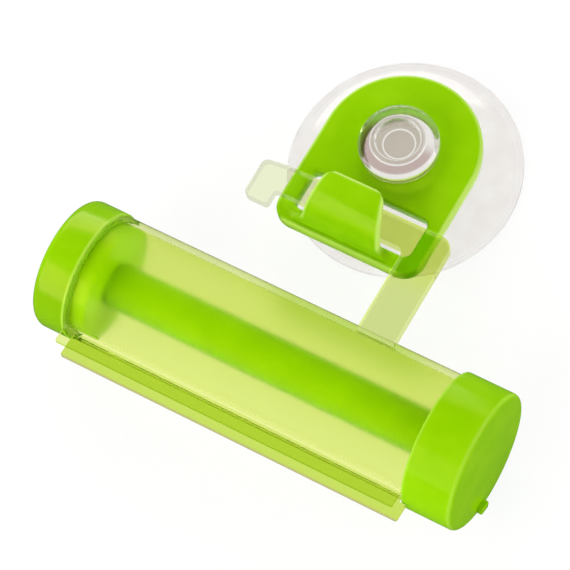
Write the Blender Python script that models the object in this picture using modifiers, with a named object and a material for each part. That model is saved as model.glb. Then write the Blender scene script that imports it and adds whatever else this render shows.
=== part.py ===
"""Toothpaste tube squeezer: a slotted winding barrel that hangs from a suction-cup hook.

It lies on its wall side. The suction cup's rim and the knob touch the plane z = 0, the barrel runs along
X with the knob at +X, +Y is up the wall and +Z points away from it. Places are first worked out from the
centre of the suction cup's rim, and one parent empty then moves everything so that the origin is the
bottom centre of the whole part. Lengths are in metres.
"""
import math

import bmesh
import bpy
from mathutils import Matrix, Vector

MM = 0.001

# Shared clearances and finish
FIT_GAP = 0.3 * MM              # between pieces that touch or run on each other
OVERRUN = 1.0 * MM              # how far a cutter passes the face that it opens
WELD = 0.002 * MM               # caps of a flat outline are joined within this distance
ROUND_FACETS = 48               # facets of a turned piece
ARC_STEPS = 5                   # facets of a rounded corner

# Suction cup, turned about Z
CUP_RADIUS = 25.0 * MM
CUP_RIM_THICKNESS = 0.9 * MM
CUP_RIM_WIDTH = 1.6 * MM        # flat ring that meets the wall
CUP_CAVITY_DEPTH = 3.6 * MM
CUP_SHOULDER_RADIUS = 10.5 * MM
CUP_SHOULDER_HEIGHT = 7.2 * MM
CUP_NECK_RADIUS = 7.2 * MM
CUP_DOME_STEPS = 8
STUD_RADIUS = 8.55 * MM         # button that snaps through the hook plate
STUD_THICKNESS = 3.3 * MM
STUD_EDGE_RADIUS = 0.9 * MM
STUD_BOSS_RADIUS = 5.9 * MM
STUD_BOSS_HEIGHT = 0.4 * MM
STUD_DIMPLE_RADIUS = 4.9 * MM
STUD_DIMPLE_DEPTH = 2.4 * MM
STUD_BOSS_SLOPE = 0.4 * MM
STUD_DIMPLE_SLOPE = 1.4 * MM    # of the dimple's wall, down to its floor

# Hook plate
PLATE_THICKNESS = 3.0 * MM
PLATE_HALF_WIDTH = 17.2 * MM    # also the radius of its round top
PLATE_FOOT = 25.4 * MM          # from the stud's centre down to the straight edge
PLATE_CORNER_RADIUS = 4.5 * MM
PLATE_EDGE_RADIUS = 0.5 * MM
PLATE_TOP_STEPS = 28
WINDOW_TOP = 12.1 * MM          # below the stud's centre
WINDOW_FOOT = 21.3 * MM
WINDOW_LEFT = 13.4 * MM
WINDOW_RIGHT = 13.8 * MM
WINDOW_CORNER_RADIUS = 1.5 * MM

# Hook tongue: a tapered strip that curls forward out of the plate's foot and up in front of the window
TONGUE_THICKNESS = 1.7 * MM
TONGUE_RADIUS = 10.0 * MM       # of its front face
TONGUE_TIP_LENGTH = 0.1 * MM    # straight stretch between the curl and its rounded tip
TONGUE_TOP_LEFT = 7.9 * MM
TONGUE_TOP_RIGHT = 5.2 * MM
TONGUE_ROOT_LEFT = 10.1 * MM
TONGUE_ROOT_RIGHT = 8.3 * MM
TONGUE_CORNER_RADIUS = 2.2 * MM
TONGUE_TIP_RADIUS = 0.5 * MM
TONGUE_STEPS = 14

# Barrel: a tube with a slot between two lips
BARREL_RADIUS = 13.75 * MM
BARREL_WALL = 1.5 * MM
BARREL_DROP = 54.8 * MM         # from the stud's centre down to the barrel's axis
BARREL_LEFT = 39.1 * MM         # from the stud's centre plane to the tube's left end
BARREL_RIGHT = 43.9 * MM        # and to its right end, inside the knob's skirt
BARREL_FACETS = 72
SLOT_ANGLE = math.radians(7.0)  # of the slot, forward of straight down
SLOT_WIDTH = 1.6 * MM
LIP_THICKNESS = 0.9 * MM
FRONT_LIP_HEIGHT = 3.95 * MM    # of a lip's tip beyond the barrel's surface
REAR_LIP_HEIGHT = 5.25 * MM
LIP_SHIFT = 1.7 * MM            # the rear lip stands this much further right than the front one

# Hanger: the arm and the crossbar that hangs in the hook
HANGER_THICKNESS = 2.5 * MM
CROSSBAR_HEIGHT = 6.2 * MM
ARM_LEFT = 12.9 * MM
ARM_RIGHT = 21.5 * MM
ARM_CORNER_RADIUS = 2.8 * MM
ARM_CROOK_RADIUS = 1.6 * MM
HANGER_EDGE_RADIUS = 0.35 * MM
LUG_LEFT = 23.4 * MM
LUG_RIGHT = 17.6 * MM
LUG_DROP = 3.6 * MM             # below the crossbar
LUG_STEP = 0.7 * MM             # its top is this much lower than the crossbar
LUG_CORNER_RADIUS = 1.5 * MM
LUG_CROOK_RADIUS = 0.7 * MM

# End cap on the left
CAP_PROUD = 0.4 * MM            # how far it stands out beyond the barrel
CAP_LENGTH = 8.2 * MM
CAP_EDGE_RADIUS = 2.0 * MM
CAP_RIM_CHAMFER = 0.25 * MM
CAP_SPIGOT_LENGTH = 3.6 * MM
CAP_DISH_RADIUS = 9.5 * MM
CAP_DISH_DEPTH = 0.6 * MM
CAP_SOCKET_DEPTH = 7.5 * MM

# Knob on the right
KNOB_PROUD = 1.1 * MM
KNOB_LENGTH = 11.1 * MM
KNOB_RIM = 39.9 * MM            # from the stud's centre plane to the knob's rim
KNOB_WALL = 1.6 * MM
KNOB_END_WALL = 1.8 * MM
KNOB_EDGE_RADIUS = 1.0 * MM
KNOB_RIM_CHAMFER = 0.25 * MM
KNOB_BOSS_RADIUS = 6.6 * MM
KNOB_RIB_COUNT = 6
KNOB_RIB_THICKNESS = 1.2 * MM
KNOB_RIB_HEIGHT = 3.6 * MM
PIP_WIDTH = 2.6 * MM            # small raised mark at the knob's edge
PIP_DEPTH = 1.8 * MM
PIP_HEIGHT = 1.2 * MM
PIP_ROUND = 0.35 * MM
PIP_ANGLE = math.radians(-68.0)

# Spindle with the slit that takes the tube's end
SPINDLE_RADIUS = 4.6 * MM
SPINDLE_TIP_RADIUS = 3.7 * MM
SPINDLE_CHAMFER = 0.5 * MM
SLIT_WIDTH = 1.8 * MM
SLIT_END_MARGIN = 5.0 * MM      # solid stretch between the slit and the knob's boss
TANG_RADIUS = 3.9 * MM          # six-sided, across its corners
TANG_LENGTH = 5.6 * MM

# Places that follow from the sizes above
PLATE_BACK_Z = CUP_SHOULDER_HEIGHT + FIT_GAP
PLATE_FRONT_Z = PLATE_BACK_Z + PLATE_THICKNESS
STUD_BACK_Z = PLATE_FRONT_Z + FIT_GAP
STUD_FRONT_Z = STUD_BACK_Z + STUD_THICKNESS
HANGER_BACK_Z = PLATE_FRONT_Z + FIT_GAP
HANGER_FRONT_Z = HANGER_BACK_Z + HANGER_THICKNESS
CROSSBAR_FOOT_Y = -WINDOW_FOOT + FIT_GAP
CROSSBAR_TOP_Y = CROSSBAR_FOOT_Y + CROSSBAR_HEIGHT
CURL_Z = PLATE_BACK_Z + PLATE_THICKNESS / 2
CURL_BORE = TONGUE_RADIUS - TONGUE_THICKNESS
CURL_REACH = CURL_BORE - FIT_GAP   # the crossbar's front edge lies this far from the curl's centre
CURL_Y = CROSSBAR_FOOT_Y + math.sqrt(CURL_REACH ** 2 - (HANGER_FRONT_Z - CURL_Z) ** 2)
TONGUE_TOP_Y = CURL_Y + TONGUE_TIP_LENGTH + TONGUE_TIP_RADIUS
TONGUE_FRONT_Z = CURL_Z + TONGUE_RADIUS
BORE_RADIUS = BARREL_RADIUS - BARREL_WALL
KNOB_RADIUS = BARREL_RADIUS + KNOB_PROUD
CAP_RADIUS = BARREL_RADIUS + CAP_PROUD
FRONT_LIP_REACH = BARREL_RADIUS + FRONT_LIP_HEIGHT
REAR_LIP_REACH = BARREL_RADIUS + REAR_LIP_HEIGHT
SLOT_FACE = SLOT_WIDTH / 2      # of a lip's inner face from the slot's middle plane
LIP_FACE = SLOT_FACE + LIP_THICKNESS
EAR_REACH = KNOB_RADIUS + FIT_GAP
AXIS_Y = -BARREL_DROP
AXIS_Z = KNOB_RADIUS            # the knob rests on the same plane as the cup's rim
CAP_RIM_X = -BARREL_LEFT - FIT_GAP
CAP_END_X = CAP_RIM_X - CAP_LENGTH
SPIGOT_X = CAP_RIM_X + CAP_SPIGOT_LENGTH
SOCKET_X = SPIGOT_X - CAP_SOCKET_DEPTH
SOCKET_RADIUS = SPINDLE_TIP_RADIUS + FIT_GAP
LIP_RIGHT_X = KNOB_RIM - FIT_GAP
SKIRT_BORE_RADIUS = BARREL_RADIUS + FIT_GAP
SKIRT_FLOOR_X = BARREL_RIGHT + FIT_GAP
KNOB_END_X = KNOB_RIM + KNOB_LENGTH
KNOB_CEILING_X = KNOB_END_X - KNOB_END_WALL
TANG_END_X = KNOB_CEILING_X - FIT_GAP
BOSS_END_X = TANG_END_X - TANG_LENGTH
SPINDLE_SHOULDER_X = BOSS_END_X - FIT_GAP
SPINDLE_STEP_X = SPIGOT_X + FIT_GAP
SPINDLE_END_X = SOCKET_X + FIT_GAP
SLIT_END_X = SPINDLE_SHOULDER_X - SLIT_END_MARGIN
PIP_END_X = KNOB_END_X + PIP_HEIGHT
REAR_LIP_TIP_Y = AXIS_Y - (REAR_LIP_REACH * math.cos(SLOT_ANGLE)
                           + LIP_FACE * math.sin(SLOT_ANGLE))
CENTRE_X = (CAP_END_X + PIP_END_X) / 2
CENTRE_Y = (CUP_RADIUS + REAR_LIP_TIP_Y) / 2

# Exact quarter turns, which keep faces that should meet in one plane
ALONG_X = Matrix(((0, 0, 1, 0), (0, 1, 0, 0), (-1, 0, 0, 0), (0, 0, 0, 1)))          # local Z to X
OUTLINE_ALONG_X = Matrix(((0, 0, 1, 0), (1, 0, 0, 0), (0, 1, 0, 0), (0, 0, 0, 1)))   # local X, Y to Y, Z

LEAF_GREEN = (0.262, 0.578, 0.0)
PALE_GREEN = (0.66, 0.80, 0.36)
CLEAR_GREY = (0.80, 0.77, 0.77)


def clear_scene():
    """Remove every object that the file opened with."""
    for item in list(bpy.data.objects):
        bpy.data.objects.remove(item, do_unlink=True)


def make_collection(name):
    """Return a new collection linked to the scene."""
    collection = bpy.data.collections.new(name)
    bpy.context.scene.collection.children.link(collection)
    return collection


def make_material(name, colour, roughness, alpha=1.0):
    """Return a plain plastic with one colour."""
    material = bpy.data.materials.new(name)
    material.use_nodes = True
    shader = material.node_tree.nodes["Principled BSDF"]
    shader.inputs["Base Color"].default_value = (*colour, 1.0)
    shader.inputs["Roughness"].default_value = roughness
    shader.inputs["Metallic"].default_value = 0.0
    shader.inputs["Alpha"].default_value = alpha
    return material


class Workshop:
    """Holds the collections and the parent empty, and makes the part's solids."""

    def __init__(self):
        self.parts = make_collection("toothpaste_tube_squeezer")
        self.cutters = make_collection("cutters")
        self.frame = bpy.data.objects.new("frame_centre", None)
        self.frame.location = (-CENTRE_X, -CENTRE_Y, 0.0)
        self.parts.objects.link(self.frame)

    def place(self, item, matrix, material=None):
        """Link an object under the parent empty, as a part with a material or else as a cutter."""
        collection = self.parts if material else self.cutters
        collection.objects.link(item)
        item.parent = self.frame
        item.matrix_parent_inverse = Matrix.Identity(4)
        item.matrix_basis = matrix
        if material:
            item.data.materials.append(material)
            item.data.shade_smooth()
            item.data.set_sharp_from_angle(angle=math.radians(30.0))
        else:
            item.hide_render = True
            item.display_type = "WIRE"
        return item

    def turned(self, name, profile, matrix, material=None, facets=ROUND_FACETS):
        """Turn a closed profile of (radius, height) points about the local Z axis."""
        mesh = bpy.data.meshes.new(name)
        on_axis = profile[0][0] == 0.0 and profile[-1][0] == 0.0
        count = len(profile)
        edges = [(i, i + 1) for i in range(count - 1)]
        if not on_axis:
            edges.append((count - 1, 0))
        mesh.from_pydata([(radius, 0.0, height) for radius, height in profile], edges, [])
        item = self.place(bpy.data.objects.new(name, mesh), matrix, material)
        screw = item.modifiers.new("turn", "SCREW")
        screw.axis = "Z"
        screw.steps = facets
        screw.render_steps = facets
        screw.use_merge_vertices = True
        screw.merge_threshold = WELD
        screw.use_smooth_shade = True
        return item

    def flat(self, name, outline, thickness, matrix, material=None, edge_radius=0.0):
        """Fill an outline in the local XY plane and thicken it evenly along the local Z axis."""
        curve = bpy.data.curves.new(name + "_outline", "CURVE")
        curve.dimensions = "2D"
        curve.fill_mode = "BOTH"
        curve.extrude = thickness / 2 - edge_radius
        curve.bevel_depth = edge_radius
        curve.offset = -edge_radius
        curve.bevel_resolution = 1
        spline = curve.splines.new("POLY")
        spline.points.add(len(outline) - 1)
        for point, (u, v) in zip(spline.points, outline):
            point.co = (u, v, 0.0, 1.0)
        spline.use_cyclic_u = True
        source = bpy.data.objects.new(name + "_outline", curve)
        self.cutters.objects.link(source)
        bpy.context.view_layer.update()
        evaluated = source.evaluated_get(bpy.context.evaluated_depsgraph_get())
        mesh = bpy.data.meshes.new_from_object(evaluated)
        mesh.name = name
        mesh.materials.clear()
        cage = bmesh.new()
        cage.from_mesh(mesh)
        bmesh.ops.remove_doubles(cage, verts=cage.verts, dist=WELD)
        bmesh.ops.recalc_face_normals(cage, faces=cage.faces)
        cage.to_mesh(mesh)
        cage.free()
        bpy.data.objects.remove(source, do_unlink=True)
        return self.place(bpy.data.objects.new(name, mesh), matrix, material)

    def block(self, name, size, matrix):
        """Make a box of the given size as a tool for a Boolean, centred on its own origin."""
        mesh = bpy.data.meshes.new(name)
        cage = bmesh.new()
        bmesh.ops.create_cube(cage, size=1.0)
        bmesh.ops.scale(cage, vec=Vector(size), verts=cage.verts)
        cage.to_mesh(mesh)
        cage.free()
        return self.place(bpy.data.objects.new(name, mesh), matrix)

    def prism(self, name, sides, radius, length, matrix):
        """Make an upright prism as a tool for a Boolean, centred on its own origin."""
        mesh = bpy.data.meshes.new(name)
        cage = bmesh.new()
        bmesh.ops.create_cone(cage, cap_ends=True, segments=sides, radius1=radius, radius2=radius,
                              depth=length)
        cage.to_mesh(mesh)
        cage.free()
        return self.place(bpy.data.objects.new(name, mesh), matrix)


def combine(item, other, operation):
    """Join, cut or intersect an object with another by an exact Boolean."""
    step = item.modifiers.new(other.name, "BOOLEAN")
    step.operation = operation
    step.solver = "EXACT"
    step.object = other


def arc(centre, radius, start, end, steps):
    """Return points along an arc, both ends included, with the angles in radians."""
    angles = [start + (end - start) * i / steps for i in range(steps + 1)]
    return [(centre[0] + radius * math.cos(angle), centre[1] + radius * math.sin(angle)) for angle in angles]


def rounded(corners, steps=ARC_STEPS):
    """Round each (u, v, radius) corner of a closed outline with an arc tangent to both sides."""
    points = []
    for index, (u, v, radius) in enumerate(corners):
        if radius == 0.0:
            points.append((u, v))
            continue
        here = Vector((u, v))
        before = (Vector(corners[index - 1][:2]) - here).normalized()
        after = (Vector(corners[(index + 1) % len(corners)][:2]) - here).normalized()
        half_angle = before.angle(after) / 2
        centre = here + (before + after).normalized() * (radius / math.sin(half_angle))
        start = here + before * (radius / math.tan(half_angle)) - centre
        sweep = start.angle_signed(here + after * (radius / math.tan(half_angle)) - centre)
        for i in range(steps + 1):
            turn = Matrix.Rotation(-sweep * i / steps, 2)
            spot = centre + turn @ start
            points.append((spot.x, spot.y))
    return points


def at(x, y, z):
    """Return a matrix that moves to a place measured from the cup's centre."""
    return Matrix.Translation((x, y, z))


def suction_cup(shop, material):
    """Clear soft cup with the button that snaps through the hook plate."""
    flat_radius = CUP_RADIUS - CUP_RIM_WIDTH
    boss_z = STUD_FRONT_Z + STUD_BOSS_HEIGHT
    dimple_z = boss_z - STUD_DIMPLE_DEPTH
    button = [
        (0.0, dimple_z),
        (STUD_DIMPLE_RADIUS - STUD_DIMPLE_SLOPE, dimple_z),
        (STUD_DIMPLE_RADIUS, boss_z),
        (STUD_BOSS_RADIUS - STUD_BOSS_SLOPE, boss_z),
        (STUD_BOSS_RADIUS, STUD_FRONT_Z),
    ]
    edge = arc((STUD_RADIUS - STUD_EDGE_RADIUS, STUD_FRONT_Z - STUD_EDGE_RADIUS), STUD_EDGE_RADIUS,
               math.pi / 2, 0.0, 3)
    neck = [
        (STUD_RADIUS, STUD_BACK_Z),
        (CUP_NECK_RADIUS, STUD_BACK_Z),
        (CUP_NECK_RADIUS, CUP_SHOULDER_HEIGHT),
    ]
    dome = []
    for i in range(CUP_DOME_STEPS + 1):
        share = i / CUP_DOME_STEPS
        radius = CUP_SHOULDER_RADIUS + (CUP_RADIUS - CUP_SHOULDER_RADIUS) * share
        fall = math.sin(share * math.pi / 2)
        dome.append((radius, CUP_SHOULDER_HEIGHT + (CUP_RIM_THICKNESS - CUP_SHOULDER_HEIGHT) * fall))
    rim = [(CUP_RADIUS, 0.0), (flat_radius, 0.0)]
    cavity = []
    for i in range(1, CUP_DOME_STEPS + 1):
        share = i / CUP_DOME_STEPS
        cavity.append((flat_radius * (1 - share), CUP_CAVITY_DEPTH * math.sin(share * math.pi / 2)))
    profile = button + edge + neck + dome + rim + cavity
    return shop.turned("suction_cup", profile, at(0.0, 0.0, 0.0), material)


def plate_outline():
    """Round-topped plate with a straight foot, counter-clockwise from its right side."""
    top = arc((0.0, 0.0), PLATE_HALF_WIDTH, 0.0, math.pi, PLATE_TOP_STEPS)
    foot = rounded([
        (-PLATE_HALF_WIDTH, -PLATE_FOOT, PLATE_CORNER_RADIUS),
        (PLATE_HALF_WIDTH, -PLATE_FOOT, PLATE_CORNER_RADIUS),
    ] + [(PLATE_HALF_WIDTH, 0.0, 0.0), (-PLATE_HALF_WIDTH, 0.0, 0.0)])
    return top + foot[:-2]


def curl_outline():
    """Section of the tongue as (y, z) points: a quarter ring out of the plate's foot, and a straight tip."""
    centre = (CURL_Y, CURL_Z)
    quarter = math.pi / 2
    front = arc(centre, TONGUE_RADIUS, quarter, math.pi, TONGUE_STEPS)
    back = arc(centre, CURL_BORE, math.pi, quarter, TONGUE_STEPS)
    tip = [
        (TONGUE_TOP_Y, CURL_Z + CURL_BORE, TONGUE_TIP_RADIUS),
        (TONGUE_TOP_Y, TONGUE_FRONT_Z, TONGUE_TIP_RADIUS),
    ]
    return rounded([(y, z, 0.0) for y, z in front + back] + tip)


def hook_plate(shop, material):
    """Plate with a hole for the button, a window, and a curved tongue in front of the window."""
    middle_z = (PLATE_BACK_Z + PLATE_FRONT_Z) / 2
    cut_thickness = PLATE_THICKNESS + 2 * OVERRUN
    plate = shop.flat("hook_plate", plate_outline(), PLATE_THICKNESS, at(0.0, 0.0, middle_z), material,
                      PLATE_EDGE_RADIUS)
    hole = shop.prism("stud_hole", ROUND_FACETS, CUP_NECK_RADIUS + FIT_GAP, cut_thickness,
                      at(0.0, 0.0, middle_z))
    window = shop.flat("window", rounded([
        (-WINDOW_LEFT, -WINDOW_FOOT, WINDOW_CORNER_RADIUS),
        (WINDOW_RIGHT, -WINDOW_FOOT, WINDOW_CORNER_RADIUS),
        (WINDOW_RIGHT, -WINDOW_TOP, WINDOW_CORNER_RADIUS),
        (-WINDOW_LEFT, -WINDOW_TOP, WINDOW_CORNER_RADIUS),
    ]), cut_thickness, at(0.0, 0.0, middle_z))
    strip = shop.flat("tongue_curl", curl_outline(), 2 * (TONGUE_ROOT_LEFT + TONGUE_ROOT_RIGHT),
                      OUTLINE_ALONG_X)
    root_y = CURL_Y - TONGUE_RADIUS - OVERRUN
    shape = shop.flat("tongue_shape", rounded([
        (-TONGUE_ROOT_LEFT, root_y, 0.0),
        (TONGUE_ROOT_RIGHT, root_y, 0.0),
        (TONGUE_TOP_RIGHT, TONGUE_TOP_Y, TONGUE_CORNER_RADIUS),
        (-TONGUE_TOP_LEFT, TONGUE_TOP_Y, TONGUE_CORNER_RADIUS),
    ]), 2 * TONGUE_FRONT_Z, at(0.0, 0.0, TONGUE_FRONT_Z))
    combine(strip, shape, "INTERSECT")
    combine(plate, hole, "DIFFERENCE")
    combine(plate, window, "DIFFERENCE")
    combine(plate, strip, "UNION")
    return plate


def slot_point(reach, offset):
    """Return the (y, z) place that lies so far along the slot's direction, and so far in front of it."""
    return (
        AXIS_Y - reach * math.cos(SLOT_ANGLE) + offset * math.sin(SLOT_ANGLE),
        AXIS_Z + reach * math.sin(SLOT_ANGLE) + offset * math.cos(SLOT_ANGLE),
    )


def ear_outline():
    """Cross-section of the rear lip outside the knob's reach, as (y, z) points."""
    return [
        slot_point(EAR_REACH, -LIP_FACE),
        slot_point(REAR_LIP_REACH, -LIP_FACE),
        slot_point(REAR_LIP_REACH, -SLOT_FACE),
        slot_point(EAR_REACH, -SLOT_FACE),
    ]


def barrel_outline(with_lips):
    """Cross-section of the slotted tube, as (y, z) points.

    Both kinds share the tube's points and the slot's corners, and the rear lip holds the ear's, so that the
    sections join face to face.
    """
    slot_direction = math.pi - SLOT_ANGLE
    outer_half = math.asin(LIP_FACE / BARREL_RADIUS)
    inner_half = math.asin(SLOT_FACE / BORE_RADIUS)
    full_turn = 2 * math.pi
    outside = arc((AXIS_Y, AXIS_Z), BARREL_RADIUS, slot_direction - outer_half,
                  slot_direction + outer_half - full_turn, BARREL_FACETS)
    inside = arc((AXIS_Y, AXIS_Z), BORE_RADIUS, slot_direction + inner_half - full_turn,
                 slot_direction - inner_half, BARREL_FACETS)
    corner_reach = math.sqrt(BARREL_RADIUS ** 2 - SLOT_FACE ** 2)
    rear_corner = [slot_point(corner_reach, -SLOT_FACE)]
    front_corner = [slot_point(corner_reach, SLOT_FACE)]
    if not with_lips:
        return outside + rear_corner + inside + front_corner
    front_lip = [slot_point(FRONT_LIP_REACH, SLOT_FACE), slot_point(FRONT_LIP_REACH, LIP_FACE)]
    return outside + ear_outline() + rear_corner + inside + front_corner + front_lip


def hanger_outline():
    """Arm, crossbar and lug in one flat outline, counter-clockwise."""
    mid_wall = BARREL_RADIUS - BARREL_WALL / 2
    middle_z = (HANGER_BACK_Z + HANGER_FRONT_Z) / 2
    arm_foot = AXIS_Y + math.sqrt(mid_wall ** 2 - (AXIS_Z - middle_z) ** 2)
    return rounded([
        (ARM_LEFT, arm_foot, 0.0),
        (ARM_RIGHT, arm_foot, 0.0),
        (ARM_RIGHT, CROSSBAR_TOP_Y, ARM_CORNER_RADIUS),
        (-LUG_RIGHT, CROSSBAR_TOP_Y, 0.0),
        (-LUG_LEFT, CROSSBAR_TOP_Y - LUG_STEP, LUG_CORNER_RADIUS),
        (-LUG_LEFT, CROSSBAR_FOOT_Y - LUG_DROP, LUG_CORNER_RADIUS),
        (-LUG_RIGHT, CROSSBAR_FOOT_Y - LUG_DROP, LUG_CROOK_RADIUS),
        (-LUG_RIGHT, CROSSBAR_FOOT_Y, LUG_CROOK_RADIUS),
        (ARM_LEFT, CROSSBAR_FOOT_Y, ARM_CROOK_RADIUS),
    ])


def along_x(start_x, end_x):
    """Return the length between two places along X, and the matrix that puts an outline between them."""
    return end_x - start_x, at((start_x + end_x) / 2, 0.0, 0.0) @ OUTLINE_ALONG_X


def barrel(shop, material):
    """Slotted tube with two lips, and the hanger moulded to its wall side."""
    tube = shop.flat("barrel", barrel_outline(True), *along_x(-BARREL_LEFT, LIP_RIGHT_X), material)
    # The lips stop at the knob's rim, under whose skirt the tube runs on. The rear one passes clear of it.
    overlap_x = LIP_RIGHT_X - OVERRUN
    sleeve = shop.flat("plain_end", barrel_outline(False), *along_x(overlap_x, BARREL_RIGHT))
    ear = shop.flat("rear_lip_ear", ear_outline(), *along_x(overlap_x, LIP_RIGHT_X + LIP_SHIFT))
    notch_length = LIP_SHIFT + OVERRUN
    notch_depth = REAR_LIP_HEIGHT + OVERRUN
    notch = shop.block("rear_lip_notch", (notch_length, notch_depth, LIP_THICKNESS + SLOT_FACE),
                       at(0.0, AXIS_Y, AXIS_Z) @ Matrix.Rotation(-SLOT_ANGLE, 4, "X")
                       @ at(-BARREL_LEFT - OVERRUN + notch_length / 2, -(BARREL_RADIUS + notch_depth / 2),
                            -(LIP_FACE + LIP_THICKNESS + SLOT_WIDTH) / 2))
    middle_z = (HANGER_BACK_Z + HANGER_FRONT_Z) / 2
    hanger = shop.flat("hanger", hanger_outline(), HANGER_THICKNESS, at(0.0, 0.0, middle_z),
                       edge_radius=HANGER_EDGE_RADIUS)
    combine(tube, sleeve, "UNION")
    combine(tube, ear, "UNION")
    combine(tube, notch, "DIFFERENCE")
    combine(tube, hanger, "UNION")
    return tube


def end_cap(shop, material):
    """Cap that plugs the barrel's left end and holds the spindle's tip in a blind socket."""
    spigot_radius = BORE_RADIUS - FIT_GAP
    edge = arc((CAP_RADIUS - CAP_EDGE_RADIUS, CAP_END_X + CAP_EDGE_RADIUS), CAP_EDGE_RADIUS, 0.0,
               -math.pi / 2, ARC_STEPS)
    profile = [
        (0.0, SOCKET_X),
        (SOCKET_RADIUS, SOCKET_X),
        (SOCKET_RADIUS, SPIGOT_X),
        (spigot_radius, SPIGOT_X),
        (spigot_radius, CAP_RIM_X),
        (CAP_RADIUS - CAP_RIM_CHAMFER, CAP_RIM_X),
        (CAP_RADIUS, CAP_RIM_X - CAP_RIM_CHAMFER),
    ] + edge + [
        (CAP_DISH_RADIUS, CAP_END_X),
        (CAP_DISH_RADIUS - CAP_DISH_DEPTH, CAP_END_X + CAP_DISH_DEPTH),
        (0.0, CAP_END_X + CAP_DISH_DEPTH),
    ]
    return shop.turned("end_cap", profile, at(0.0, AXIS_Y, AXIS_Z) @ ALONG_X, material)


def knob(shop, material):
    """Hollow knob with a skirt over the barrel's end, a ribbed boss for the spindle and a raised pip."""
    body_bore = KNOB_RADIUS - KNOB_WALL
    edge = arc((KNOB_RADIUS - KNOB_EDGE_RADIUS, KNOB_END_X - KNOB_EDGE_RADIUS), KNOB_EDGE_RADIUS,
               math.pi / 2, 0.0, ARC_STEPS)
    profile = [(0.0, KNOB_END_X)] + edge + [
        (KNOB_RADIUS, KNOB_RIM + KNOB_RIM_CHAMFER),
        (KNOB_RADIUS - KNOB_RIM_CHAMFER, KNOB_RIM),
        (SKIRT_BORE_RADIUS, KNOB_RIM),
        (SKIRT_BORE_RADIUS, SKIRT_FLOOR_X),
        (body_bore, SKIRT_FLOOR_X),
        (body_bore, KNOB_CEILING_X),
        (KNOB_BOSS_RADIUS, KNOB_CEILING_X),
        (KNOB_BOSS_RADIUS, BOSS_END_X),
        (0.0, BOSS_END_X),
    ]
    axis = at(0.0, AXIS_Y, AXIS_Z)
    cap = shop.turned("knob", profile, axis @ ALONG_X, material)
    socket_length = TANG_LENGTH + FIT_GAP + OVERRUN
    socket = shop.prism("tang_socket", 6, TANG_RADIUS + FIT_GAP / math.cos(math.pi / 6), socket_length,
                        axis @ at(BOSS_END_X - OVERRUN + socket_length / 2, 0.0, 0.0) @ ALONG_X)
    rib_reach = (KNOB_RADIUS - KNOB_WALL / 2) - (KNOB_BOSS_RADIUS - KNOB_WALL / 2)
    rib_middle = KNOB_BOSS_RADIUS - KNOB_WALL / 2 + rib_reach / 2
    rib_bottom = KNOB_CEILING_X + KNOB_END_WALL / 2
    rib_length = KNOB_RIB_HEIGHT + KNOB_END_WALL / 2
    for i in range(KNOB_RIB_COUNT):
        turn = Matrix.Rotation(2 * math.pi * i / KNOB_RIB_COUNT, 4, "X")
        rib = shop.block(f"knob_rib_{i + 1}", (rib_length, rib_reach, KNOB_RIB_THICKNESS),
                         axis @ turn @ at(rib_bottom - rib_length / 2, rib_middle, 0.0))
        combine(cap, rib, "UNION")
    pip_turn = Matrix.Rotation(-PIP_ANGLE, 4, "X")
    pip_height = PIP_HEIGHT + KNOB_END_WALL / 2
    pip = shop.flat("pip", rounded([
        (-pip_height / 2, -PIP_DEPTH / 2, 0.0),
        (pip_height / 2, -PIP_DEPTH / 2, PIP_ROUND),
        (pip_height / 2, PIP_DEPTH / 2, PIP_ROUND),
        (-pip_height / 2, PIP_DEPTH / 2, 0.0),
    ], 2), PIP_WIDTH, axis @ pip_turn @ at(PIP_END_X - pip_height / 2,
                                           -(KNOB_RADIUS - KNOB_EDGE_RADIUS - PIP_DEPTH / 2), 0.0))
    combine(cap, socket, "DIFFERENCE")
    combine(cap, pip, "UNION")
    return cap


def spindle(shop, material):
    """Forked spindle: its slit takes the tube's end, and its six-sided tang drives it from the knob."""
    profile = [
        (0.0, SPINDLE_SHOULDER_X),
        (SPINDLE_RADIUS - SPINDLE_CHAMFER, SPINDLE_SHOULDER_X),
        (SPINDLE_RADIUS, SPINDLE_SHOULDER_X - SPINDLE_CHAMFER),
        (SPINDLE_RADIUS, SPINDLE_STEP_X + SPINDLE_CHAMFER),
        (SPINDLE_RADIUS - SPINDLE_CHAMFER, SPINDLE_STEP_X),
        (SPINDLE_TIP_RADIUS, SPINDLE_STEP_X),
        (SPINDLE_TIP_RADIUS, SPINDLE_END_X + SPINDLE_CHAMFER),
        (SPINDLE_TIP_RADIUS - SPINDLE_CHAMFER, SPINDLE_END_X),
        (0.0, SPINDLE_END_X),
    ]
    axis = at(0.0, AXIS_Y, AXIS_Z)
    rod = shop.turned("spindle", profile, axis @ ALONG_X, material)
    tang_start = SPINDLE_SHOULDER_X - SPINDLE_CHAMFER
    tang_length = TANG_END_X - tang_start
    tang = shop.prism("tang", 6, TANG_RADIUS, tang_length,
                      axis @ at(tang_start + tang_length / 2, 0.0, 0.0) @ ALONG_X)
    slit_length = SLIT_END_X - SPINDLE_END_X + OVERRUN
    tilt = Matrix.Rotation(-SLOT_ANGLE, 4, "X")
    slit = shop.block("slit", (slit_length, 2 * (SPINDLE_RADIUS + OVERRUN), SLIT_WIDTH),
                      axis @ tilt @ at(SLIT_END_X - slit_length / 2, 0.0, 0.0))
    combine(rod, tang, "UNION")
    combine(rod, slit, "DIFFERENCE")
    return rod


def main():
    """Build every piece."""
    clear_scene()
    shop = Workshop()
    green = make_material("green_plastic", LEAF_GREEN, 0.25)
    tinted = make_material("tinted_plastic", PALE_GREEN, 0.2, 0.45)
    clear = make_material("clear_rubber", CLEAR_GREY, 0.3, 0.5)
    suction_cup(shop, clear)
    hook_plate(shop, green)
    barrel(shop, tinted)
    end_cap(shop, green)
    knob(shop, green)
    spindle(shop, green)
    bpy.context.view_layer.update()


main()
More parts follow.
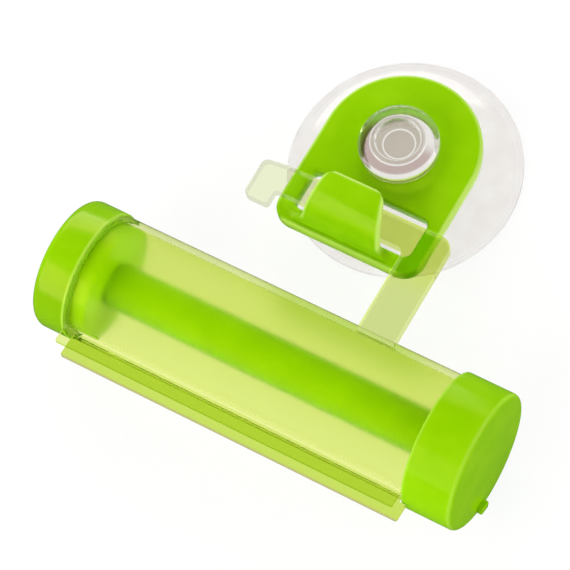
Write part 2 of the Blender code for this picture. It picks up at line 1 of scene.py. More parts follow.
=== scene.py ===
"""Looks of the toothpaste tube squeezer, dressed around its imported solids.

The pieces' lengths are in millimetres, measured from the centre of the suction cup's rim: X runs along the
barrel towards the knob, Y up the wall and Z away from it. Place moves them into the row frame, and add_mesh
turns them into metres. The studio's lengths are in metres.
"""
import logging
import math
from dataclasses import dataclass
from enum import Enum
from typing import Any, Callable, Sequence

import bmesh
import bpy
import numpy as np
from mathutils import Matrix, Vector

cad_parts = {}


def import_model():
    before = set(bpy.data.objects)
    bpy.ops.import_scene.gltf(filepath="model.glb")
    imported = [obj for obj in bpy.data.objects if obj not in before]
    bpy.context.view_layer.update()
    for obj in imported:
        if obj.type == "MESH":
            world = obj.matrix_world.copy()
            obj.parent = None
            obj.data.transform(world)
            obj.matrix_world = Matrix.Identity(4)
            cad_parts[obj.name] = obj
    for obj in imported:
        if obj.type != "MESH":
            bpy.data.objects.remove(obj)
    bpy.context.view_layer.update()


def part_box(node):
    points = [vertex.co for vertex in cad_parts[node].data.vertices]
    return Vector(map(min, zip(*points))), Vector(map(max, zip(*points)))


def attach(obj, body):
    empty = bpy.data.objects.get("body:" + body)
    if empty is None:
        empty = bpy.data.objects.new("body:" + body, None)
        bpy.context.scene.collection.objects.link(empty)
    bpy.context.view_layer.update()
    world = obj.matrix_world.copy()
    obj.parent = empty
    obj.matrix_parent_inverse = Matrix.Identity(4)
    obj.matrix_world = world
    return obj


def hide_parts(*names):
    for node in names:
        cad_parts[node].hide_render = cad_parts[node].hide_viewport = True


Item, Material, Mesh = bpy.types.Object, bpy.types.Material, bpy.types.Mesh
Triple = tuple[float, float, float]
Span = tuple[float, float]
Colour = Triple

LOG = logging.getLogger("squeezer")
MM = 0.001
MERGE_WITHIN = 0.0005
SHARP_FROM = 35.0
FULL_TURN = 2 * math.pi
QUARTER_TURN = math.pi / 2


class Axis(Enum):
    """Direction of a turned piece's own axis: the order in which (across, across, along) become X, Y, Z."""

    OUT_OF_WALL = (0, 1, 2)
    ALONG_BARREL = (2, 0, 1)


@dataclass(frozen=True)
class Place:
    """Where the object's own points lie in the row frame, in millimetres.

    Args:
        cup: Centre of the suction cup's rim, as X and Y.
        axis: The barrel's axis, as Y and Z.
    """

    cup: Span
    axis: Span

    @classmethod
    def from_frame(cls) -> "Place":
        """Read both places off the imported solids' boxes."""
        low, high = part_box("suction_cup")
        cap_low, cap_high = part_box("end_cap")
        return cls(
            ((low.x + high.x) / 2 / MM, (low.y + high.y) / 2 / MM),
            ((cap_low.y + cap_high.y) / 2 / MM, (cap_low.z + cap_high.z) / 2 / MM),
        )

    def from_cup(self, points: np.ndarray) -> np.ndarray:
        """Move points that are measured from the cup's centre into the row frame."""
        return points + np.array([self.cup[0], self.cup[1], 0.0])

    def on_axis(self, points: np.ndarray) -> np.ndarray:
        """Move points that are measured from the barrel's axis, level with the cup's centre along X."""
        return points + np.array([self.cup[0], self.axis[0], self.axis[1]])


# ---- shapes: points are in millimetres, and faces are lists of point numbers ----


def grid_faces(rows: int, columns: int, close_rows: bool) -> list[list[int]]:
    """Quads of a grid of points whose columns close on themselves.

    Args:
        rows: Number of rings.
        columns: Points in a ring.
        close_rows: Whether the last ring joins the first.

    Returns:
        Quads as lists of point numbers.
    """
    i, j = np.meshgrid(np.arange(rows if close_rows else rows - 1), np.arange(columns), indexing="ij")
    below, right = (i + 1) % rows, (j + 1) % columns
    quads = np.stack([i * columns + j, i * columns + right, below * columns + right, below * columns + j], -1)
    return quads.reshape(-1, 4).tolist()


def on_circle(angle: np.ndarray) -> np.ndarray:
    """Points (cos a, sin a) of the unit circle at an array of angles."""
    return np.stack([np.cos(angle), np.sin(angle)], -1)


def rounded(corners: Sequence[Triple], steps: int = 6, closed: bool = True) -> np.ndarray:
    """Round the corners of an outline with arcs that are tangent to both sides.

    For a corner with half angle h and radius r, the arc's centre lies r / sin(h) along the bisector, and its
    ends r / tan(h) along the sides.

    Args:
        corners: (u, v, radius) of each corner.
        steps: Facets of each arc.
        closed: Whether the outline closes. The ends of an open one stay as they are.

    Returns:
        An array of (u, v) points.
    """
    spots = np.array([corner[:2] for corner in corners], float)
    out = []
    for index, (_, _, radius) in enumerate(corners):
        here = spots[index]
        end = not closed and index in (0, len(corners) - 1)
        if radius == 0.0 or end:
            out.append(here[None])
            continue
        before = spots[index - 1] - here
        after = spots[(index + 1) % len(corners)] - here
        before, after = before / np.linalg.norm(before), after / np.linalg.norm(after)
        half = math.acos(float(np.clip(before @ after, -1.0, 1.0))) / 2
        bisector = (before + after) / np.linalg.norm(before + after)
        centre = here + bisector * radius / math.sin(half)
        start = here + before * radius / math.tan(half) - centre
        stop = here + after * radius / math.tan(half) - centre
        first = math.atan2(start[1], start[0])
        sweep = (math.atan2(stop[1], stop[0]) - first + math.pi) % FULL_TURN - math.pi
        angle = first + sweep * np.linspace(0.0, 1.0, steps + 1)
        out.append(centre + radius * on_circle(angle))
    return np.concatenate(out)


def lathe(profile: np.ndarray, segments: int, axis: Axis) -> tuple[np.ndarray, list[list[int]]]:
    """Turn (radius, height) points about an axis: each becomes (radius cos a, radius sin a, height).

    A profile whose ends lie on the axis closes in two poles, and any other closes on itself.

    Args:
        profile: Points as an array of (radius, height).
        segments: Facets around the axis.
        axis: Which way the height runs.

    Returns:
        Points and faces.
    """
    poled = profile[0, 0] == 0.0 and profile[-1, 0] == 0.0
    rings = profile[1:-1] if poled else profile
    angle = np.linspace(0.0, FULL_TURN, segments, endpoint=False)
    radius, height = rings[:, :1], rings[:, 1:]
    points = np.stack([radius * np.cos(angle), radius * np.sin(angle), height + 0.0 * angle], -1).reshape(-1, 3)
    faces = grid_faces(len(rings), segments, not poled)
    if poled:
        first, last = len(points), len(points) + 1
        points = np.concatenate([points, [[0.0, 0.0, profile[0, 1]], [0.0, 0.0, profile[-1, 1]]]])
        near = np.arange(segments)
        following = (near + 1) % segments
        base = (len(rings) - 1) * segments
        faces += np.stack([np.full(segments, first), following, near], -1).tolist()
        faces += np.stack([np.full(segments, last), base + near, base + following], -1).tolist()
    return points[:, list(axis.value)], faces


def slab(outline: np.ndarray, low: float, high: float, edge: float, steps: int = 4) -> tuple[np.ndarray, list]:
    """Thicken a counter-clockwise outline between two heights, with rounded edges.

    Ring k of a rounded edge is drawn in by edge (1 - cos t) and lies edge (1 - sin t) inside the face, with t
    from a quarter turn down to zero. Points move along the mean of the normals of their two sides.

    Args:
        outline: Points as an array of (u, v).
        low: Height of the lower face.
        high: Height of the upper face.
        edge: Radius of the rounded edges.
        steps: Facets of an edge.

    Returns:
        Points and faces, the flat faces as polygons.
    """
    ahead = np.roll(outline, -1, 0) - outline
    normal = np.stack([ahead[:, 1], -ahead[:, 0]], -1) / np.linalg.norm(ahead, axis=1, keepdims=True)
    mean = normal + np.roll(normal, 1, 0)
    mean = 2 * mean / np.sum(mean * mean, 1, keepdims=True)
    turn = np.linspace(QUARTER_TURN, 0.0, steps + 1)
    inset = edge * (1 - np.cos(turn))
    depth = edge * (1 - np.sin(turn))
    inset = np.concatenate([inset, inset[::-1]])
    heights = np.concatenate([low + depth, (high - depth)[::-1]])
    rings = outline[None] - mean[None] * inset[:, None, None]
    level = np.repeat(heights[:, None, None], len(outline), 1)
    return swept(np.concatenate([rings, level], -1))


def swept(rings: np.ndarray) -> tuple[np.ndarray, list]:
    """Join rings of points, given as (ring, point, 3), into a closed shape with a polygon at either end."""
    rows, count, _ = rings.shape
    end = (rows - 1) * count
    caps = [list(range(count))[::-1], list(range(end, end + count))]
    return rings.reshape(-1, 3), grid_faces(rows, count, False) + caps


def link_object(name: str, data: Any) -> Item:
    """Make an object of a mesh, curve, lamp or camera, and put it in the scene."""
    item = bpy.data.objects.new(name, data)
    bpy.context.scene.collection.objects.link(item)
    return item


def add_mesh(name: str, points: np.ndarray, faces: list) -> Item:
    """Make an object from points in millimetres, shaded smooth except at sharp edges.

    Args:
        name: The piece's name.
        points: Points in the row frame.
        faces: Lists of point numbers.

    Returns:
        The object, at the origin, with outward faces.
    """
    mesh = bpy.data.meshes.new(name)
    mesh.from_pydata((points * MM).tolist(), [], faces)
    tidy_mesh(mesh)
    return link_object(name, mesh)


def tidy_mesh(mesh: Mesh) -> None:
    """Merge doubles, turn the faces outwards and mark the edges of more than SHARP_FROM degrees as sharp."""
    work = bmesh.new()
    work.from_mesh(mesh)
    bmesh.ops.remove_doubles(work, verts=work.verts, dist=MERGE_WITHIN * MM)
    bmesh.ops.recalc_face_normals(work, faces=work.faces)
    work.to_mesh(mesh)
    work.free()
    mesh.shade_smooth()
    mesh.set_sharp_from_angle(angle=math.radians(SHARP_FROM))


def evaluated_mesh(item: Item) -> Mesh:
    """A new mesh of what an object looks like with its modifiers or its curve's thickness."""
    bpy.context.view_layer.update()
    return bpy.data.meshes.new_from_object(item.evaluated_get(bpy.context.evaluated_depsgraph_get()))


def fuse(item: Item, added: Sequence[Item],
         cut: Sequence[Item] = ()) -> Item:
    """Join others to a piece and cut others from it, by exact Booleans, and delete the others.

    Args:
        item: The piece to keep.
        added: What is joined to it.
        cut: What is cut from it afterwards.

    Returns:
        The piece with its new mesh.
    """
    steps = [(other, "UNION") for other in added] + [(other, "DIFFERENCE") for other in cut]
    for other, operation in steps:
        step = item.modifiers.new(other.name, "BOOLEAN")
        step.operation, step.solver, step.object = operation, "EXACT", other
    mesh = evaluated_mesh(item)
    mesh.name = item.name
    item.modifiers.clear()
    item.data = mesh
    for other, _ in steps:
        bpy.data.objects.remove(other, do_unlink=True)
    tidy_mesh(mesh)
    return item


# ---- finishes ----


class Sock:
    """Wraps a node socket so that shader maths reads as an expression."""

    def __init__(self, graph: "Graph", socket: Any) -> None:
        """Keep the graph and the output socket."""
        self.graph, self.socket = graph, socket

    def __add__(self, other: Any) -> "Sock":
        """Return self + other."""
        return self.graph.math("ADD", self, other)

    __radd__ = __add__

    def __mul__(self, other: Any) -> "Sock":
        """Return self * other."""
        return self.graph.math("MULTIPLY", self, other)

    __rmul__ = __mul__

    def __sub__(self, other: Any) -> "Sock":
        """Return self - other."""
        return self.graph.math("SUBTRACT", self, other)

    def __rsub__(self, other: Any) -> "Sock":
        """Return other - self."""
        return self.graph.math("SUBTRACT", other, self)


class Graph:
    """Builds the nodes of one material or of the world."""

    def __init__(self, owner: Material | bpy.types.World) -> None:
        """Take the owner's nodes."""
        owner.use_nodes = True
        self.owner = owner
        self.tree = owner.node_tree

    def named(self, name: str) -> Any:
        """One of the nodes that the owner has from the start."""
        return self.tree.nodes[name]

    def node(self, kind: str, inputs: dict[Any, Any], output: Any = 0, **settings: Any) -> Sock:
        """Add a node.

        Args:
            kind: Its type.
            inputs: Values or links of its sockets, by name or number.
            output: Name or number of the output to return.
            settings: Properties that are set before the sockets.

        Returns:
            The wrapped output.
        """
        made = self.tree.nodes.new(kind)
        for key, value in settings.items():
            setattr(made, key, value)
        for key, value in inputs.items():
            self.connect(value, made.inputs[key])
        return Sock(self, made.outputs[output])

    def connect(self, value: Any, socket: Any) -> None:
        """Link a wrapped socket, or set a plain value."""
        if isinstance(value, Sock):
            self.tree.links.new(value.socket, socket)
        else:
            socket.default_value = value

    def millimetres(self, scale: Triple = (1.0, 1.0, 1.0)) -> Sock:
        """Object coordinates in millimetres, stretched by a factor for each axis."""
        factors = tuple(value / MM for value in scale)
        place = self.node("ShaderNodeTexCoord", {}, "Object")
        return self.node("ShaderNodeMapping", {"Vector": place, "Scale": factors})

    def noise(self, vector: Sock, scale: float, detail: float = 2.0) -> Sock:
        """Cloudy noise from 0 to 1, with features about 1 / scale millimetres across."""
        return self.node("ShaderNodeTexNoise", {"Vector": vector, "Scale": scale, "Detail": detail}, "Fac")

    def parts(self, vector: Sock) -> tuple[Sock, Sock, Sock]:
        """Split a vector into its X, Y and Z."""
        x = self.node("ShaderNodeSeparateXYZ", {"Vector": vector}, "X")
        outputs = x.socket.node.outputs
        return x, Sock(self, outputs["Y"]), Sock(self, outputs["Z"])

    def mix(self, factor: Sock, first: Any, second: Any) -> Sock:
        """Blend two colours by a factor from 0 to 1."""
        inputs = {0: factor, 6: as_rgba(first), 7: as_rgba(second)}
        return self.node("ShaderNodeMix", inputs, 2, data_type="RGBA")

    def vector(self, operation: str, first: Any, second: Triple = (0.0, 0.0, 0.0), output: str = "Vector") -> Sock:
        """Add one Vector Math node."""
        return self.node("ShaderNodeVectorMath", {0: first, 1: second}, output, operation=operation)

    def length(self, x: Any, y: Any) -> Sock:
        """Length of a vector in a plane, from its two parts."""
        return self.vector("LENGTH", self.node("ShaderNodeCombineXYZ", {"X": x, "Y": y}), output="Value")

    def math(self, operation: str, first: Any, second: Any) -> Sock:
        """Add one Math node."""
        return self.node("ShaderNodeMath", {0: first, 1: second}, operation=operation)

    def highest(self, first: Any, second: Any) -> Sock:
        """The larger of two values."""
        return self.math("MAXIMUM", first, second)

    def ramp(self, value: Sock, start: float, full: float) -> Sock:
        """Rise from 0 to 1 as the value goes from start to full, up or down, eased at both ends."""
        inputs = {"Value": value, "From Min": start, "From Max": full}
        return self.node("ShaderNodeMapRange", inputs, interpolation_type="SMOOTHSTEP")

    def band(self, value: Sock, below: Span, above: Span) -> Sock:
        """Share that is 1 between two spans of the value and 0 outside them, each given from start to full."""
        return self.ramp(value, *below) * self.ramp(value, *above)

    def paint(self, colour: Sock, layers: Sequence[tuple[Sock, Any]]) -> Sock:
        """Lay colours over the first one in turn, each by its own share from 0 to 1."""
        for share, tint in layers:
            colour = self.mix(share, colour, tint)
        return colour

    def finish(self, varying: dict[str, Sock], fixed: dict[str, Any], bump: Sock, depth: float) -> Material:
        """Connect what varies, set what doesn't, and add the surface's relief.

        Args:
            varying: Links into the shader, by socket name.
            fixed: Plain values of the shader's sockets.
            bump: Height of the relief, from 0 to 1.
            depth: Depth of the relief in millimetres.

        Returns:
            The material.
        """
        relief = self.node("ShaderNodeBump", {"Height": bump, "Distance": depth * MM})
        for key, value in {**fixed, **varying, "Normal": relief}.items():
            self.connect(value, self.named("Principled BSDF").inputs[key])
        return self.owner


def as_rgba(colour: Any) -> Any:
    """Give a plain colour its fourth value, and leave a wrapped socket alone."""
    return colour if isinstance(colour, Sock) else (*colour, 1.0)


@dataclass(frozen=True)
class GreenPlastic:
    """Opaque glossy leaf green, with faint flow clouds, an almost smooth moulded skin and any painted light and
    shade.
    """

    name: str
    deep: Colour = (0.262, 0.578, 0.0)
    light: Colour = (0.290, 0.605, 0.002)
    sheen_tint: Colour = (1.0, 0.65, 0.2)
    sheen: float = 0.32
    roughness: float = 0.15
    cloud_scale: float = 0.16
    cloud_span: Span = (0.35, 0.7)
    cloud_roughness: float = 0.06
    skin_scale: float = 2.2
    skin_depth: float = 0.012
    ior: float = 1.47

    def build(self, shade: Callable[[Graph, Sock, Sock], Sock] | None = None) -> Material:
        """Return the material.

        Args:
            shade: Takes the graph, the place in millimetres and the green, and returns the green with painted
            highlights and painted shade laid over it.
        """
        graph = Graph(bpy.data.materials.new(self.name))
        spot = graph.millimetres()
        clouds = graph.noise(spot, self.cloud_scale)
        skin = graph.noise(spot, self.skin_scale, 3.0)
        green = graph.mix(graph.ramp(clouds, *self.cloud_span), self.deep, self.light)
        if shade:
            green = shade(graph, spot, green)
        varying = {"Base Color": green, "Roughness": self.roughness + self.cloud_roughness * clouds}
        fixed = {"IOR": self.ior, "Specular IOR Level": self.sheen, "Specular Tint": as_rgba(self.sheen_tint)}
        return graph.finish(varying, fixed, skin, self.skin_depth)


@dataclass(frozen=True)
class TintedPlastic:
    """See-through yellow-green plastic, glossy outside and frosted inside the bore, as moulded tubes are.

    A span is where a blend starts and where it is full: in millimetres of the row frame along x and y, from the
    barrel's axis for reach, up and offset, and as a share for facing. The arm is tinted more than the tube's wall
    and the lips most, partly for their thickness and partly as painted green shade seen through them; the lug that
    stands free is tinted least. Painted light and shade lie over the tint: a paler low side, a highlight along the
    crease, a dark band and line at the upper silhouette, a reflection of the green plate, and outlines and a faint
    glow on the hanger's upright walls.
    """

    name: str
    axis: Span
    wall: Colour = (0.80, 0.87, 0.40)
    # Painted reflection: the tube's low side is paler, for the front lamp's broad reflection there.
    low_wall_light: Colour = (0.87, 0.92, 0.52)
    low_up: Span = (-2.0, -6.0)
    bore_reach: Span = (12.75, 12.35)
    skin_reach: Span = (13.05, 13.65)
    beyond_reach: Span = (13.65, 14.25)
    # Lips' deeper green: partly their thickness, partly painted green shade seen through them.
    lips: Colour = (0.57, 0.73, 0.12)
    lips_up: Span = (0.0, -1.0)
    lip_end: Colour = (0.50, 0.46, 0.24)
    lip_end_reach: Span = (18.7, 18.9)
    # Arm's deeper green: partly its thickness, partly painted green shade seen through it.
    arm: Colour = (0.60, 0.69, 0.26)
    hanger_up: Span = (0.0, 1.0)
    bar: Colour = (0.60, 0.72, 0.14)
    bar_y: Span = (-7.0, 5.0)
    lug: Colour = (0.80, 0.84, 0.60)
    lug_x: Span = (-3.0, -19.0)
    # Painted highlight along the crease where the slot's front lip meets the tube.
    crease_highlight: Colour = (1.0, 1.0, 0.72)
    crease_below: Span = (1.4, 1.7)
    crease_above: Span = (2.5, 2.2)
    slot_angle: float = math.radians(7.0)
    upper_up: Span = (-2.0, 2.0)
    # Painted shade towards the tube's upper silhouette: a darker band, then a dark line at the edge.
    edge_shade_band: Colour = (0.63, 0.72, 0.28)
    band_facing: Span = (0.48, 0.62)
    edge_shade_line: Colour = (0.20, 0.22, 0.04)
    line_facing: Span = (0.74, 0.92)
    # Painted reflection of the green plate on the tube's upper side.
    plate_shine: Colour = (0.44, 0.64, 0.07)
    shine_left_x: Span = (-14.0, -3.0)
    shine_right_x: Span = (34.0, 20.0)
    shine_up: Span = (8.5, 12.5)
    # Painted outlines on the hanger's upright walls, paler on the lug, and a faint painted glow from them.
    hanger_wall: Colour = (0.42, 0.43, 0.24)
    hanger_light: Colour = (0.20, 0.24, 0.09)
    lug_wall: Colour = (0.58, 0.60, 0.48)
    lug_light: Colour = (0.03, 0.03, 0.03)
    free_x: Span = (-17.0, -18.5)
    upright_level: Span = (0.95, 0.6)
    sheen_tint: Colour = (1.0, 1.0, 0.4)
    gloss: float = 0.05
    cloud_scale: float = 0.12
    cloud_roughness: float = 0.03
    drawn_scale: float = 0.9
    drawn_stretch: Triple = (0.03, 1.0, 1.0)
    drawn_depth: float = 0.003
    frost: float = 0.95
    frost_facing: Span = (0.85, 0.6)
    ior: float = 1.04
    coat: float = 0.04
    coat_roughness: float = 0.07
    coat_ior: float = 1.4

    def build(self) -> Material:
        """Return the material.

        The reach from the barrel's axis tells the bore from the outside and from what is moulded to it, and the
        way up from the axis tells the lips from the hanger.
        """
        graph = Graph(bpy.data.materials.new(self.name))
        spot = graph.millimetres()
        from_axis = graph.vector("ADD", spot, (0.0, -self.axis[0], -self.axis[1]))
        from_axis = graph.vector("MULTIPLY", from_axis, (0.0, 1.0, 1.0))
        reach = graph.vector("LENGTH", from_axis, output="Value")
        x, y, _ = graph.parts(spot)
        _, up, _ = graph.parts(from_axis)
        facing = graph.node("ShaderNodeLayerWeight", {"Blend": 0.5}, "Facing")
        skin, beyond = graph.ramp(reach, *self.skin_reach), graph.ramp(reach, *self.beyond_reach)
        low_side = graph.ramp(up, *self.lips_up)
        on_lips, on_hanger = beyond * low_side, beyond * graph.ramp(up, *self.hanger_up)
        hanger = graph.mix(graph.ramp(y, *self.bar_y), self.arm, self.bar)
        hanger = graph.mix(graph.ramp(x, *self.lug_x), hanger, self.lug)
        # Painted reflection: paler wall on the tube's low side.
        wall = graph.mix(graph.ramp(up, *self.low_up), self.wall, self.low_wall_light)
        across_slot = (0.0, math.sin(self.slot_angle), math.cos(self.slot_angle))
        offset = graph.vector("DOT_PRODUCT", from_axis, across_slot, "Value")
        upper = skin * (1.0 - beyond) * graph.ramp(up, *self.upper_up)
        # Painted reflection of the green plate, over a stretch of x on the tube's upper side.
        shine = graph.ramp(x, *self.shine_left_x) * graph.ramp(x, *self.shine_right_x)
        # Painted outlines: the hanger's upright walls, found by their normals.
        _, _, level = graph.parts(graph.node("ShaderNodeTexCoord", {}, "Normal"))
        upright = on_hanger * graph.ramp(graph.highest(level, 0.0 - level), *self.upright_level)
        free = graph.ramp(x, *self.free_x)
        # Painted light and shade over the tint: crease highlight, silhouette shade, plate reflection, hanger
        # outlines.
        colour = graph.paint(wall, [
            (on_hanger, hanger),
            (on_lips, self.lips),
            (graph.band(offset, self.crease_below, self.crease_above) * skin * low_side, self.crease_highlight),
            (graph.ramp(facing, *self.band_facing) * upper, self.edge_shade_band),
            (shine * graph.ramp(up, *self.shine_up) * upper, self.plate_shine),
            (graph.ramp(facing, *self.line_facing) * upper, self.edge_shade_line),
            (graph.ramp(reach, *self.lip_end_reach) * on_lips, self.lip_end),
            (upright, graph.mix(free, self.hanger_wall, self.lug_wall)),
        ])
        frosted = graph.ramp(reach, *self.bore_reach) * graph.ramp(facing, *self.frost_facing)
        clouds = graph.noise(spot, self.cloud_scale)
        drawn = graph.noise(graph.millimetres(self.drawn_stretch), self.drawn_scale)
        # Painted glow from the hanger's walls, though they are no lamp.
        glow = graph.mix(free, self.hanger_light, self.lug_light)
        varying = {
            "Base Color": colour,
            "Roughness": self.gloss + self.cloud_roughness * clouds + self.frost * frosted,
            "Emission Color": graph.mix(upright, (0.0, 0.0, 0.0), glow),
        }
        fixed = {"IOR": self.ior, "Transmission Weight": 1.0, "Specular Tint": as_rgba(self.sheen_tint),
                 "Coat Weight": self.coat, "Coat Roughness": self.coat_roughness, "Coat IOR": self.coat_ior,
                 "Emission Strength": 1.0}
        return graph.finish(varying, fixed, drawn, self.drawn_depth)


@dataclass(frozen=True)
class ClearVinyl:
    """Clear soft vinyl that looks greyish white, with darker tan on the button and a frosted rim. Painted light and
    shade lie on the button: shade on its ring's lower half, a green reflection on its side, highlight circles.

    A span is where a blend starts and where it is full, in millimetres: from the cup's centre for reach and y,
    and over the wall for height.
    """

    name: str
    centre: Span
    clear: Colour = (0.88, 0.86, 0.83)
    milky: Colour = (0.84, 0.81, 0.79)
    cloud_scale: float = 0.2
    cloud_span: Span = (0.3, 0.7)
    cloud_roughness: float = 0.08
    skin_scale: float = 1.1
    skin_depth: float = 0.02
    button: Colour = (0.36, 0.31, 0.24)
    button_height: Span = (8.0, 12.0)
    button_reach: Span = (6.3, 5.0)
    # Painted shade: darker pink on the lower half of the button's ring.
    ring: Colour = (0.36, 0.24, 0.22)
    ring_reach: Span = (8.2, 7.7)
    ring_y: Span = (3.0, -1.0)
    # Painted reflection of the green plate on the button's side wall.
    side: Colour = (0.42, 0.74, 0.05)
    side_reach: Span = (8.2, 8.4)
    side_height: Span = (13.3, 12.8)
    # Painted highlights: paler circles along the button's edges.
    highlight_circles: tuple[float, ...] = (3.4, 4.8, 5.9)
    circle_width: float = 0.28
    roughness: float = 0.12
    rim_reach: Span = (24.2, 24.8)
    rim_roughness: float = 0.5
    ior: float = 1.15
    clearness: float = 0.95
    coat: float = 0.5
    coat_roughness: float = 0.05
    coat_ior: float = 1.4

    def build(self) -> Material:
        """Return the material."""
        graph = Graph(bpy.data.materials.new(self.name))
        spot = graph.millimetres()
        clouds = graph.noise(spot, self.cloud_scale)
        x, y, height = graph.parts(spot)
        x, y = x - self.centre[0], y - self.centre[1]
        reach = graph.length(x, y)
        high = graph.ramp(height, *self.button_height)
        # Painted ring shade, the button's darker tan, the plate's painted reflection, then painted highlight
        # circles.
        layers = [
            (high * graph.ramp(reach, *self.ring_reach) * graph.ramp(y, *self.ring_y), self.ring),
            (high * graph.ramp(reach, *self.button_reach), self.button),
            (high * graph.ramp(reach, *self.side_reach) * graph.ramp(height, *self.side_height), self.side),
        ]
        for circle in self.highlight_circles:
            line = graph.band(reach, (circle - self.circle_width, circle), (circle + self.circle_width, circle))
            layers.append((high * line, self.clear))
        base = graph.mix(graph.ramp(clouds, *self.cloud_span), self.clear, self.milky)
        matt_rim = self.rim_roughness * graph.ramp(reach, *self.rim_reach)
        varying = {
            "Base Color": graph.paint(base, layers),
            "Roughness": self.roughness + self.cloud_roughness * clouds + matt_rim,
        }
        fixed = {"IOR": self.ior, "Transmission Weight": self.clearness, "Coat Weight": self.coat,
                 "Coat Roughness": self.coat_roughness, "Coat IOR": self.coat_ior}
        return graph.finish(varying, fixed, graph.noise(spot, self.skin_scale), self.skin_depth)


# ---- the object's pieces ----


@dataclass
class Piece:
    """What the sub-assemblies share.

    Args:
        place: Where the object's points lie.
        turned_facets: Facets around a turned piece.
    """

    place: Place
    turned_facets: int = 160

    def turned(self, name: str, profile: np.ndarray, axis: Axis = Axis.ALONG_BARREL) -> Item:
        """Turn a (radius, height) profile about the barrel's axis, or about the cup's."""
        points, faces = lathe(profile, self.turned_facets, axis)
        move = self.place.on_axis if axis is Axis.ALONG_BARREL else self.place.from_cup
        return add_mesh(name, move(points), faces)

    def blade(self, name: str, outline: np.ndarray, offsets: Span, edge: float, ways: tuple[Span, Span],
              steps: int = 3) -> Item:
        """A slab that stands out from the barrel's axis.

        A point at reach r and offset o lies at r times the first way plus o times the second.

        Args:
            name: The slab's name.
            outline: Counter-clockwise outline as (x, reach).
            offsets: Where its two faces lie.
            edge: Radius of its edges.
            ways: Directions of reach and offset, as Y and Z.
            steps: Facets of an edge.

        Returns:
            The slab.
        """
        points, faces = slab(outline, *offsets, edge, steps)
        x, reach, offset = points.T
        y, z = (reach * out + offset * aside for out, aside in zip(*ways))
        return add_mesh(name, self.place.on_axis(np.stack([x, y, z], -1)), faces)

    def dress(self, item: Item, material: Material, node: str, body: str) -> Item:
        """Give a piece its material, body and slot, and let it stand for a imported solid.

        Args:
            item: The piece.
            material: Its finish.
            node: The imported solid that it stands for.
            body: The body that it moves with.

        Returns:
            The piece.
        """
        item.data.materials.clear()
        item.data.materials.append(material)
        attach(item, body)
        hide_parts(node)
        LOG.info("%s: %d faces, rides on %s", item.name, len(item.data.polygons), body)
        return item


@dataclass
class SuctionCup(Piece):
    """Clear cup with the button that snaps through the hook plate."""

    rim_radius: float = 25.0
    rim_thickness: float = 0.9
    rim_width: float = 1.6
    cavity: float = 3.6
    shoulder_radius: float = 10.5
    shoulder: float = 7.2
    neck_radius: float = 7.2
    button_radius: float = 8.55
    button_back: float = 10.8
    button_front: float = 14.1
    button_edge: float = 0.9
    boss_radius: float = 5.9
    boss_front: float = 14.5
    boss_draft: float = 0.4
    dimple_radius: float = 4.9
    dimple_floor: float = 12.1
    dimple_draft: float = 1.4
    dome_steps: int = 40

    def profile(self) -> np.ndarray:
        """Half section as (radius, height). The dome falls by the sine of a quarter turn from shoulder to rim."""
        button = rounded([
            (0.0, self.dimple_floor, 0.0), (self.dimple_radius - self.dimple_draft, self.dimple_floor, 0.5),
            (self.dimple_radius, self.boss_front, 0.2),
            (self.boss_radius - self.boss_draft, self.boss_front, 0.15),
            (self.boss_radius, self.button_front, 0.15),
            (self.button_radius, self.button_front, self.button_edge),
            (self.button_radius, self.button_back, 0.3), (self.neck_radius, self.button_back, 0.2),
            (self.neck_radius, self.shoulder, 0.4), (self.shoulder_radius, self.shoulder, 0.0),
        ], closed=False)
        share = np.linspace(0.0, 1.0, self.dome_steps + 1)[1:]
        fall = np.sin(share * QUARTER_TURN)
        dome = np.stack([self.shoulder_radius + (self.rim_radius - self.shoulder_radius) * share,
                         self.shoulder + (self.rim_thickness - self.shoulder) * fall], -1)
        flat = self.rim_radius - self.rim_width
        hollow = np.stack([flat * (1 - share), self.cavity * fall], -1)
        foot = np.array([[self.rim_radius, 0.0], [flat, 0.0]])
        return np.concatenate([button, dome, foot, hollow])

    def build(self, vinyl: Material) -> Item:
        """Turn the cup and dress it."""
        item = self.turned("clear_cup", self.profile(), Axis.OUT_OF_WALL)
        return self.dress(item, vinyl, "suction_cup", "cup")


